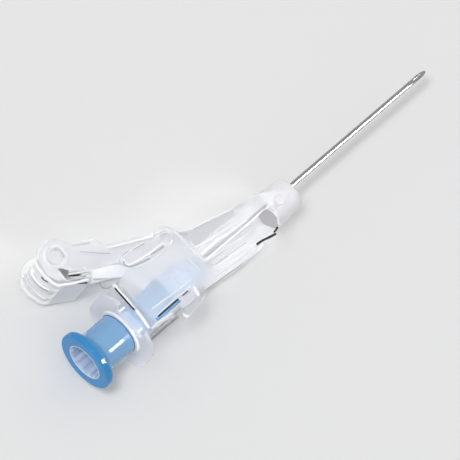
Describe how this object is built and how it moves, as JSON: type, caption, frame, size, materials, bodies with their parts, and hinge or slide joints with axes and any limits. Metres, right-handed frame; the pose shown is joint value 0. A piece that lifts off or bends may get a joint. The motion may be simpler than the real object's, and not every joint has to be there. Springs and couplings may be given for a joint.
{
  "type": "safety hypodermic needle",
  "caption": "Hypodermic needle with a blue Luer hub and a clear folding shield: hinged arms push a frosted sleeve along the needle to cover its point after use.",
  "frame": {"origin": "centre of the hub's rear mouth, on the needle's axis, where a syringe tip enters", "axes": "+X along the needle towards its point, +Y towards the folded elbow of the shield, +Z along the shield's hinge axes; the object lies on the collar's lower side at low Z"},
  "size_m": [0.0569, 0.0181, 0.0094],
  "materials": {
    "blue_plastic": "glossy translucent light-blue polypropylene",
    "needle_steel": "drawn stainless steel tube, bright",
    "cured_glue": "clear cured glue",
    "clear_plastic": "clear moulded polypropylene, slightly milky, polished edges",
    "frosted_plastic": "frosted milky moulded plastic",
    "spring_steel": "thin stainless spring steel, stamped"
  },
  "bodies": {
    "hub_set": {"luer_hub": "blue_plastic", "cannula": "needle_steel", "cannula_bond": "cured_glue", "collar": "clear_plastic"},
    "rear_arm_body": {"rear_arm": "clear_plastic"},
    "front_arm_body": {"front_arm": "clear_plastic"},
    "sleeve_set": {"tip_sleeve": "frosted_plastic", "lock_plate": "spring_steel"}
  },
  "joints": [
    {"name": "collar_hinge", "type": "hinge", "parent": "hub_set", "child": "rear_arm_body", "pos_m": [0.016, 0.0046, 0], "axis": [0, 0, -1], "range_deg": [0, 127.78]},
    {"name": "elbow_hinge", "type": "hinge", "parent": "rear_arm_body", "child": "front_arm_body", "pos_m": [0.00448, 0.01125, 0], "axis": [0, 0, 1], "range_deg": [0, 131.34]},
    {"name": "sleeve_slide", "type": "slide", "parent": "hub_set", "child": "sleeve_set", "axis": [1, 0, 0], "range_m": [0, 0.02451]}
  ],
  "couplings": [
    {"joint": "elbow_hinge", "follows": "collar_hinge", "ratio": 1.0274},
    {"joint": "sleeve_slide", "follows": "collar_hinge", "m_per_rad": 0.010985}
  ]
}
